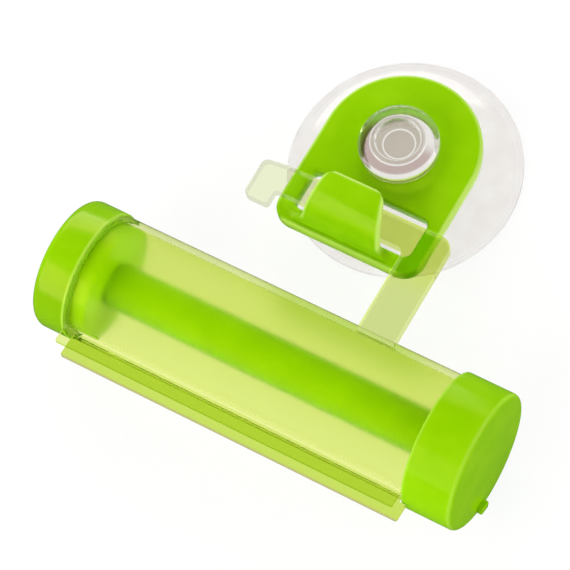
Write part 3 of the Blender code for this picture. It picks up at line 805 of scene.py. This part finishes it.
@dataclass
class HookPlate(Piece):
    """Green plate with a window, and the tongue that curls up in front of it."""

    back: float = 7.5
    front: float = 10.5
    half_width: float = 17.2
    foot: float = 25.4
    corner: float = 4.5
    edge: float = 0.7
    hole_radius: float = 7.5
    window_x: Span = (-13.4, 13.8)
    window_y: Span = (-21.3, -12.1)
    window_corner: float = 1.5
    curl_y: float = -14.254
    curl_z: float = 9.0
    curl_radius: float = 10.0
    curl_thickness: float = 1.7
    curl_steps: int = 64
    tip_steps: int = 10
    edge_steps: int = 4
    round_steps: int = 72
    hole_steps: int = 96
    flare: float = 3.0
    tongue_edge: float = 0.45
    least_flat: float = 0.05
    bevel_rows: int = 3
    # Painted highlight along the plate's rounded outline and the tongue's edges: its colour, width, flat part and
    # rise.
    painted_edge_light: Colour = (0.58, 0.82, 0.16)
    edge_highlight_width: float = 0.9
    edge_highlight_flat: float = 0.2
    edge_highlight_over_plate: Span = (1.0, 3.0)
    outline_share: float = 0.7
    tip_rise: float = 0.6
    tip: float = 0.5
    tongue_corner: float = 2.2
    tip_sides: Span = (7.9, 5.2)
    root_sides: Span = (10.1, 8.3)

    def outline(self) -> np.ndarray:
        """Round top of the plate's half width, and a straight foot with rounded corners, counter-clockwise."""
        angle = np.linspace(0.0, math.pi, self.round_steps + 1)
        top = self.half_width * on_circle(angle)
        foot = rounded([
            (-self.half_width, 0.0, 0.0), (-self.half_width, -self.foot, self.corner),
            (self.half_width, -self.foot, self.corner), (self.half_width, 0.0, 0.0),
        ], steps=12, closed=False)
        return np.concatenate([top, foot[1:-1]])

    def openings(self) -> list[np.ndarray]:
        """The button's hole and the window, clockwise as holes are."""
        angle = np.linspace(0.0, -FULL_TURN, self.hole_steps, endpoint=False)
        hole = self.hole_radius * on_circle(angle)
        (left, right), (low, high) = self.window_x, self.window_y
        corners = [(left, low), (left, high), (right, high), (right, low)]
        window = rounded([(*corner, self.window_corner) for corner in corners])
        return [hole, window]

    def plate(self) -> Item:
        """Fill the outline less its openings, with a rounded edge round each."""
        curve = bpy.data.curves.new("green_hook_plate", "CURVE")
        curve.dimensions, curve.fill_mode = "2D", "BOTH"
        curve.extrude = ((self.front - self.back) / 2 - self.edge) * MM
        curve.bevel_depth, curve.offset, curve.bevel_resolution = self.edge * MM, -self.edge * MM, self.bevel_rows
        for outline in [self.outline(), *self.openings()]:
            spline = curve.splines.new("POLY")
            spline.points.add(len(outline) - 1)
            shift = np.array(self.place.cup)
            flat = np.concatenate([outline + shift, np.zeros_like(outline)], -1) * MM
            flat[:, 3] = 1.0
            spline.points.foreach_set("co", flat.ravel())
            spline.use_cyclic_u = True
        source = link_object("plate_source", curve)
        mesh = evaluated_mesh(source)
        bpy.data.objects.remove(source, do_unlink=True)
        mesh.transform(Matrix.Translation((0.0, 0.0, (self.back + self.front) / 2 * MM)))
        tidy_mesh(mesh)
        return link_object("green_hook_plate", mesh)

    def sides(self, share: Any) -> list[Any]:
        """The tongue's reach to the left and right, at a share from 0 at its root's back to 1 at its tip."""
        return [root + (tip - root) * share for root, tip in zip(self.root_sides, self.tip_sides)]

    def tongue(self) -> Item:
        """Sweep a rounded rectangle up a quarter circle that stands on the plate, and over a short straight tip.

        The circle's points lie at (y + r cos a, z + r sin a), with a from half a turn down to a quarter. The
        strip narrows evenly with y. Near its top corners, at a distance d past the start of their radius r, it
        loses r - sqrt(r^2 - d^2) of its width, and the tip's thickness ends in the same way. Below the height R
        over the plate it widens by R - sqrt(R^2 - (R - h)^2), the hollow flare of its root.

        Returns:
            The closed strip.
        """
        middle = self.curl_radius - self.curl_thickness / 2
        curl = on_circle(np.linspace(math.pi, QUARTER_TURN, self.curl_steps + 1))
        ahead = self.tip_rise * np.sin(np.linspace(0.0, QUARTER_TURN, self.tip_steps + 1))[1:]
        direction = np.concatenate([curl, np.tile([0.0, 1.0], (self.tip_steps, 1))])
        y, z = (direction * middle + [self.curl_y, self.curl_z]).T
        y[-self.tip_steps:] += ahead
        end = self.curl_y + self.tip_rise
        share = (y - (self.curl_y - middle)) / (end - (self.curl_y - middle))
        corner = np.clip(y - (end - self.tongue_corner), 0.0, self.tongue_corner)
        corner = self.tongue_corner - np.sqrt(self.tongue_corner ** 2 - corner ** 2)
        high = np.clip(z - self.front, 0.0, self.flare)
        flare = self.flare - np.sqrt(self.flare ** 2 - (self.flare - high) ** 2)
        left, right = (side - corner + flare for side in self.sides(share))
        thin = np.clip(y - (end - self.tip), 0.0, self.tip)
        half = self.curl_thickness / 2 - (self.tip - np.sqrt(self.tip ** 2 - thin ** 2))
        rim = np.minimum(self.tongue_edge, half - self.least_flat)[:, None]
        turn = np.linspace(0.0, QUARTER_TURN, self.edge_steps + 1) + (np.arange(4) * QUARTER_TURN)[:, None]
        turn = turn.ravel()[None]
        cos, sin = np.cos(turn), np.sin(turn)
        to_right = np.repeat([True, False, False, True], self.edge_steps + 1)[None]
        to_front = np.repeat([1.0, 1.0, -1.0, -1.0], self.edge_steps + 1)[None]
        across = np.where(to_right, right[:, None] - rim, rim - left[:, None]) + rim * cos
        out = to_front * (half[:, None] - rim) + rim * sin
        rings = np.stack([across, y[:, None] + out * direction[:, :1], z[:, None] + out * direction[:, 1:]], -1)
        points, faces = swept(rings)
        return add_mesh("tongue", self.place.from_cup(points), faces)

    def shade(self, graph: Graph, spot: Sock, green: Sock) -> Sock:
        """Painted highlights on the rounding and walls along the plate's outline, and on the tongue's side edges and
        tip.
        """
        x, y, z = graph.parts(spot)
        x, y = x - self.place.cup[0], y - self.place.cup[1]
        root, end = self.curl_y - self.curl_radius, self.curl_y + self.tip_rise
        left, right = self.sides((y - root) * (1 / (end - root)))
        # Masks of the painted edge highlight, on the tongue and along the plate's outline.
        beyond = graph.highest(graph.highest(x - right, 0.0 - left - x), y - end)
        over = graph.ramp(z, *(self.front + rise for rise in self.edge_highlight_over_plate))
        tongue = graph.ramp(beyond, -self.edge_highlight_width, 0.0) * over
        reach = graph.length(x, graph.highest(y, 0.0))
        round_top = graph.ramp(reach, self.half_width - self.edge_highlight_width, self.half_width - self.edge_highlight_flat)
        foot = graph.ramp(0.0 - y, self.foot - self.edge_highlight_width, self.foot - self.edge_highlight_flat)
        outline = self.outline_share * graph.highest(round_top, foot)
        return graph.mix(graph.highest(tongue, outline), green, self.painted_edge_light)

    def build(self, green: GreenPlastic) -> Item:
        """Fuse plate and tongue, and dress them."""
        item = fuse(self.plate(), [self.tongue()])
        return self.dress(item, green.build(self.shade), "hook_plate", "plate")


@dataclass
class Barrel(Piece):
    """See-through slotted tube with two lips, and the hanger moulded to it."""

    turned_facets: int = 480
    radius: float = 13.75
    wall: float = 1.5
    left: float = -39.1
    right: float = 43.9
    slot_angle: float = math.radians(7.0)
    slot: float = 1.6
    lip: float = 0.9
    front_reach: float = 17.7
    rear_reach: float = 19.0
    lip_right: float = 39.6
    lip_shift: float = 1.7
    ear_reach: float = 15.15
    lip_edge: float = 0.12
    hanger_back: float = 10.8
    hanger_front: float = 13.3
    crossbar_foot: float = -21.0
    crossbar_top: float = -14.8
    arm_left: float = 12.9
    arm_right: float = 21.5
    arm_corner: float = 2.8
    arm_crook: float = 1.6
    lug_left: float = -23.4
    lug_right: float = -17.6
    lug_drop: float = 3.6
    lug_step: float = 0.7
    lug_corner: float = 1.5
    edge: float = 0.35
    axis_drop: float = 54.8

    def slot_ways(self) -> tuple[Span, Span]:
        """Ways out through the slot and across it: (-cos a, sin a) and (sin a, cos a) for the slot's angle a."""
        cos, sin = math.cos(self.slot_angle), math.sin(self.slot_angle)
        return (-cos, sin), (sin, cos)

    def lips(self) -> list[Item]:
        """The front lip, and the rear one with the ear that passes clear of the knob.

        Both run a quarter of the slot past their inner faces, and the slot's block cuts that off again.
        """
        root = self.radius - self.wall / 2
        rear_left, rear_right = self.left + self.lip_shift, self.lip_right + self.lip_shift
        front = rounded([
            (self.left, root, 0.0), (self.lip_right, root, 0.0), (self.lip_right, self.front_reach, 0.4),
            (self.left, self.front_reach, 0.4),
        ])
        rear = rounded([
            (rear_left, root, 0.0), (self.lip_right, root, 0.0), (self.lip_right, self.ear_reach, 0.3),
            (rear_right, self.ear_reach, 0.3), (rear_right, self.rear_reach, 0.5),
            (rear_left, self.rear_reach, 0.5),
        ])
        near, far = self.slot / 4, self.slot / 2 + self.lip
        return [self.blade("front_lip", front, (near, far), self.lip_edge, self.slot_ways()),
                self.blade("rear_lip", rear, (-far, -near), self.lip_edge, self.slot_ways())]

    def slot_block(self) -> Item:
        """Block that opens the slot, from the barrel's axis to past the lips."""
        left, right, past = self.left - 1, self.right + 1, self.rear_reach + 1
        outline = np.array([(left, 0.0), (right, 0.0), (right, past), (left, past)])
        return self.blade("slot", outline, (-self.slot / 2, self.slot / 2), 0.0, self.slot_ways(), steps=1)

    def hanger(self) -> Item:
        """Arm, crossbar and lug in one slab, whose foot ends inside the tube's wall."""
        middle = (self.hanger_back + self.hanger_front) / 2
        mid_wall = self.radius - self.wall / 2
        foot = -self.axis_drop + math.sqrt(mid_wall ** 2 - (self.place.axis[1] - middle) ** 2)
        outline = rounded([
            (self.arm_left, foot, 0.0), (self.arm_right, foot, 0.0),
            (self.arm_right, self.crossbar_top, self.arm_corner), (self.lug_right, self.crossbar_top, 0.0),
            (self.lug_left, self.crossbar_top - self.lug_step, self.lug_corner),
            (self.lug_left, self.crossbar_foot - self.lug_drop, self.lug_corner),
            (self.lug_right, self.crossbar_foot - self.lug_drop, 0.7),
            (self.lug_right, self.crossbar_foot, 0.7), (self.arm_left, self.crossbar_foot, self.arm_crook),
        ], steps=8)
        points, faces = slab(outline, self.hanger_back, self.hanger_front, self.edge)
        return add_mesh("hanger", self.place.from_cup(points), faces)

    def build(self, tinted: Material) -> Item:
        """Fuse tube, lips and hanger, open the slot, and dress the moulding."""
        bore = self.radius - self.wall
        ring = np.array([(self.radius, self.right), (self.radius, self.left), (bore, self.left), (bore, self.right)])
        tube = self.turned("tinted_barrel", ring)
        item = fuse(tube, [*self.lips(), self.hanger()], [self.slot_block()])
        return self.dress(item, tinted, "barrel", "barrel")


@dataclass
class EndCap(Piece):
    """Green cap that plugs the barrel's left end."""

    radius: float = 14.15
    rim: float = -39.4
    end: float = -47.6
    edge: float = 2.0
    rim_edge: float = 0.25
    spigot_radius: float = 11.95
    spigot_end: float = -35.8
    dish_radius: float = 9.5
    dish: float = 0.6
    socket_radius: float = 4.0
    socket_end: float = -43.3
    # Painted highlight colour of the cap's rim.
    painted_edge_light: Colour = (0.40, 0.70, 0.05)
    # Painted light on the plug inside the tube, brightest on its end face.
    plug_light: Colour = (0.29, 0.53, 0.0)
    plug_face_light: Colour = (0.44, 0.76, 0.0)
    # Painted shade: deeper green on the cap's low side.
    low: Colour = (0.215, 0.455, 0.0)
    low_shade_down: Span = (4.0, 12.5)
    pale_from_rim: Span = (-0.7, -0.3)
    plug_from_rim: Span = (0.0, 0.2)
    face_from_end: Span = (-0.3, 0.0)

    def shade(self, graph: Graph, spot: Sock, green: Sock) -> Sock:
        """Painted shade on the low side, a painted highlight along the rim, and painted light on the plug in the
        tube.
        """
        x, y, _ = graph.parts(spot)
        x = x - self.place.cup[0]
        return graph.paint(green, [
            (graph.ramp(self.place.axis[0] - y, *self.low_shade_down), self.low),
            (graph.ramp(x - self.rim, *self.pale_from_rim), self.painted_edge_light),
            (graph.ramp(x - self.rim, *self.plug_from_rim), self.plug_light),
            (graph.ramp(x - self.spigot_end, *self.face_from_end), self.plug_face_light),
        ])

    def build(self, green: GreenPlastic) -> Item:
        """Turn the cap and dress it."""
        profile = rounded([
            (0.0, self.socket_end, 0.0), (self.socket_radius, self.socket_end, 0.0),
            (self.socket_radius, self.spigot_end, 0.2), (self.spigot_radius, self.spigot_end, 0.3),
            (self.spigot_radius, self.rim, 0.0), (self.radius, self.rim, self.rim_edge),
            (self.radius, self.end, self.edge), (self.dish_radius, self.end, 0.3),
            (self.dish_radius - self.dish, self.end + self.dish, 0.3), (0.0, self.end + self.dish, 0.0),
        ], steps=8, closed=False)
        item = self.turned("green_end_cap", profile)
        return self.dress(item, green.build(self.shade), "end_cap", "barrel")


@dataclass
class WindingKey(Piece):
    """The knob with its boss, ribs and pip, and the forked spindle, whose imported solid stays."""

    radius: float = 14.85
    rim: float = 39.9
    end: float = 51.0
    wall: float = 1.6
    end_wall: float = 1.8
    edge: float = 1.0
    rim_edge: float = 0.25
    skirt_bore: float = 14.05
    skirt_floor: float = 44.2
    boss_radius: float = 6.6
    boss_end: float = 43.3
    socket_radius: float = 4.25
    ribs: int = 6
    rib_thickness: float = 1.2
    rib_height: float = 3.6
    pip_width: float = 2.6
    pip_depth: float = 1.8
    pip_height: float = 1.2
    pip_angle: float = math.radians(248.0)
    spoke_edge: float = 0.15
    # Painted highlight colour of the skirt's rim and the end face's edge.
    painted_edge_light: Colour = (0.36, 0.67, 0.03)
    rod_radius: float = 4.6
    # Painted light that lifts the shade in the rod's slit.
    slit_light: Colour = (0.50, 0.88, 0.03)
    rim_highlight: Span = (0.7, 0.3)
    end_highlight_below: Span = (-1.1, -0.6)
    end_highlight_above: Span = (-0.05, -0.4)
    slit_under_rod: Span = (-0.1, -0.4)

    def shell(self) -> Item:
        """Turned body with the hollow boss that takes the spindle's tang."""
        ceiling = self.end - self.end_wall
        profile = rounded([
            (0.0, self.end, 0.0), (self.radius, self.end, self.edge), (self.radius, self.rim, self.rim_edge),
            (self.skirt_bore, self.rim, 0.2), (self.skirt_bore, self.skirt_floor, 0.0),
            (self.radius - self.wall, self.skirt_floor, 0.2), (self.radius - self.wall, ceiling, 0.5),
            (self.boss_radius, ceiling, 0.5), (self.boss_radius, self.boss_end, 0.2),
            (self.socket_radius, self.boss_end, 0.2), (self.socket_radius, ceiling, 0.0), (0.0, ceiling, 0.0),
        ], steps=8, closed=False)
        return self.turned("green_knob", profile)

    def spoke(self, name: str, outline: np.ndarray, thickness: float, angle: float) -> Item:
        """A slab at an angle from +Y towards +Z, whose outline is in (x, radius)."""
        cos, sin = math.cos(angle), math.sin(angle)
        half = thickness / 2
        return self.blade(name, outline, (-half, half), self.spoke_edge, ((cos, sin), (-sin, cos)))

    def shade(self, graph: Graph, spot: Sock, green: Sock) -> Sock:
        """Painted highlights at the skirt's rim and round the end face."""
        x, _, _ = graph.parts(spot)
        x = x - self.place.cup[0]
        at_end = graph.band(x - self.end, self.end_highlight_below, self.end_highlight_above)
        return graph.mix(graph.ramp(x - self.rim, *self.rim_highlight) + at_end, green, self.painted_edge_light)

    def shade_rod(self, graph: Graph, spot: Sock, green: Sock) -> Sock:
        """Painted light on the walls of the slit, which lifts the shade inside it."""
        _, y, z = graph.parts(spot)
        reach = graph.length(y - self.place.axis[0], z - self.place.axis[1])
        return graph.mix(graph.ramp(reach - self.rod_radius, *self.slit_under_rod), green, self.slit_light)

    def build(self, green: GreenPlastic, shaded_satin: GreenPlastic) -> list[Item]:
        """Fuse the knob's parts, dress it, and give the spindle its finish."""
        inner, outer = self.boss_radius - self.wall / 2, self.radius - self.wall / 2
        low, high = self.end - self.end_wall - self.rib_height, self.end - self.end_wall / 2
        rib = np.array([(low, inner), (high, inner), (high, outer), (low, outer)])
        added = [self.spoke(f"rib_{i + 1}", rib, self.rib_thickness, FULL_TURN * i / self.ribs)
                 for i in range(self.ribs)]
        top = self.radius - self.edge
        foot, front = top - self.pip_depth, self.end + self.pip_height
        pip = rounded([(high, foot, 0.0), (front, foot, 0.35), (front, top, 0.35), (high, top, 0.0)])
        added.append(self.spoke("pip", pip, self.pip_width, self.pip_angle))
        knob = self.dress(fuse(self.shell(), added), green.build(self.shade), "knob", "key")
        spindle = bpy.data.objects["spindle"]
        spindle.material_slots[0].material = shaded_satin.build(self.shade_rod)
        return [knob, spindle]


# ---- the studio ----


@dataclass(frozen=True)
class SoftBox:
    """A rectangular lamp that faces the object.

    Args:
        name: The lamp's name.
        azimuth: Degrees from +X towards +Y.
        elevation: Degrees above the floor.
        distance: Metres from the object's middle.
        width: Metres across.
        height: Metres up.
        power: Watts.
    """

    name: str
    azimuth: float
    elevation: float
    distance: float
    width: float
    height: float
    power: float

    def build(self) -> None:
        """Make the lamp and aim it."""
        data = bpy.data.lights.new(self.name, "AREA")
        data.shape, data.size, data.size_y, data.energy = "RECTANGLE", self.width, self.height, self.power
        turn = (Matrix.Rotation(math.radians(self.azimuth + 90.0), 4, "Z")
                @ Matrix.Rotation(math.radians(90.0 - self.elevation), 4, "X"))
        link_object(self.name, data).matrix_world = turn @ Matrix.Translation((0.0, 0.0, self.distance))


@dataclass
class Studio:
    """White ground, soft light and the photograph's camera."""

    focal_length: float = 210.25
    sensor: float = 36.0
    near_clip: float = 0.01
    camera_spot: Triple = (0.20943, -0.21543, 0.62359)
    camera_right: Triple = (0.856169, 0.497368, -0.14)
    camera_up: Triple = (-0.406122, 0.815284, 0.412767)
    camera_back: Triple = (0.319436, -0.296541, 0.900013)
    floor_reach: float = 3.0
    floor_grain: float = 0.05
    floor_roughness: float = 0.9
    floor_dark: Colour = (0.78, 0.78, 0.78)
    floor_light: Colour = (0.80, 0.80, 0.80)
    white: Colour = (1.0, 1.0, 1.0)
    dim: Colour = (0.06, 0.06, 0.06)
    seen_glow: float = 0.84
    through_glow: float = 0.94
    glossy_glow: float = 0.97
    glow: float = 1.05
    fill: float = 0.32
    gloss: float = 0.12
    lamps: tuple[SoftBox, ...] = (
        SoftBox("front_box", -115.0, 28.0, 1.0, 1.2, 0.8, 12.0),
        SoftBox("back_box", 126.0, 26.0, 1.1, 0.9, 0.7, 8.0),
        SoftBox("side_box", 20.0, 18.0, 1.2, 0.7, 0.6, 8.0),
    )

    def camera(self) -> None:
        """Place the camera as it was fitted to the photograph."""
        data = bpy.data.cameras.new("camera")
        data.lens, data.sensor_width, data.clip_start = self.focal_length, self.sensor, self.near_clip
        item = link_object("camera", data)
        rows = zip(self.camera_right, self.camera_up, self.camera_back, self.camera_spot)
        item.matrix_world = Matrix([*rows, (0.0, 0.0, 0.0, 1.0)])
        bpy.context.scene.camera = item

    def ground(self) -> None:
        """A pale floor that keeps a soft shadow. Seen directly or through glass it is nearly all white glow."""
        half = self.floor_reach
        corners = np.array([(-half, -half, 0), (half, -half, 0), (half, half, 0), (-half, half, 0)]) / MM
        floor = add_mesh("floor", corners, [[0, 1, 2, 3]])
        graph = Graph(bpy.data.materials.new("white_ground"))
        grain = graph.noise(graph.millimetres(), self.floor_grain)
        material = graph.finish({"Base Color": graph.mix(grain, self.floor_dark, self.floor_light)},
                                {"Roughness": self.floor_roughness, "Specular IOR Level": 0.0}, grain, 0.0)
        rays = Rays(graph)
        colour = graph.mix(rays.glossy, self.white, self.dim)
        glow = graph.node("ShaderNodeEmission", {"Color": colour, "Strength": self.glow})
        share = self.seen_glow * rays.camera + self.through_glow * rays.through + self.glossy_glow * rays.glossy
        plain = Sock(graph, graph.named("Principled BSDF").outputs[0])
        total = graph.node("ShaderNodeMixShader", {0: share, 1: plain, 2: glow})
        graph.connect(total, graph.named("Material Output").inputs["Surface"])
        floor.data.materials.append(material)

    def world(self) -> None:
        """White for what is seen or looked through, dim for gloss, and a plain fill for the rest."""
        bpy.context.scene.world = bpy.data.worlds.new("studio")
        graph = Graph(bpy.context.scene.world)
        rays = Rays(graph)
        seen = rays.camera + rays.through
        strength = self.fill + (1.0 - self.fill) * seen - (self.fill - self.gloss) * rays.glossy
        graph.connect(strength, graph.named("Background").inputs["Strength"])
        graph.connect(as_rgba(self.white), graph.named("Background").inputs["Color"])

    def build(self) -> None:
        """Make everything around the object."""
        self.camera()
        self.ground()
        self.world()
        for lamp in self.lamps:
            lamp.build()
        bpy.context.scene.view_settings.view_transform = "Standard"


class Rays:
    """The kind of ray that reaches a shader, each as 1 or 0: from the camera, through glass, or off gloss."""

    def __init__(self, graph: Graph) -> None:
        """Add the Light Path node. A ray through glass that is also glossy counts as one through glass."""
        path = graph.node("ShaderNodeLightPath", {}, "Is Camera Ray")
        outputs = path.socket.node.outputs
        self.camera = path
        self.through = (1.0 - path) * Sock(graph, outputs["Is Transmission Ray"])
        self.glossy = (1.0 - path) * (1.0 - self.through) * Sock(graph, outputs["Is Glossy Ray"])


def main() -> None:
    """Build the sub-assemblies in order, then the studio."""
    logging.basicConfig(level=logging.INFO, format="%(name)s: %(message)s")
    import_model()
    place = Place.from_frame()
    # The rod's green is darker than the other greens: painted shade for the rod inside the tube.
    shaded_satin = GreenPlastic("shaded_rod_green", deep=(0.24, 0.45, 0.0), light=(0.26, 0.48, 0.0), sheen=0.05, roughness=0.35)
    SuctionCup(place).build(ClearVinyl("clear_vinyl", place.cup).build())
    HookPlate(place).build(GreenPlastic("plate_green"))
    Barrel(place).build(TintedPlastic("tinted_green", place.axis).build())
    EndCap(place).build(GreenPlastic("cap_green", sheen_tint=(1.0, 0.5, 0.15), sheen=0.42))
    WindingKey(place).build(GreenPlastic("knob_green", sheen=0.14), shaded_satin)
    Studio().build()


if __name__ == "__main__":
    main()
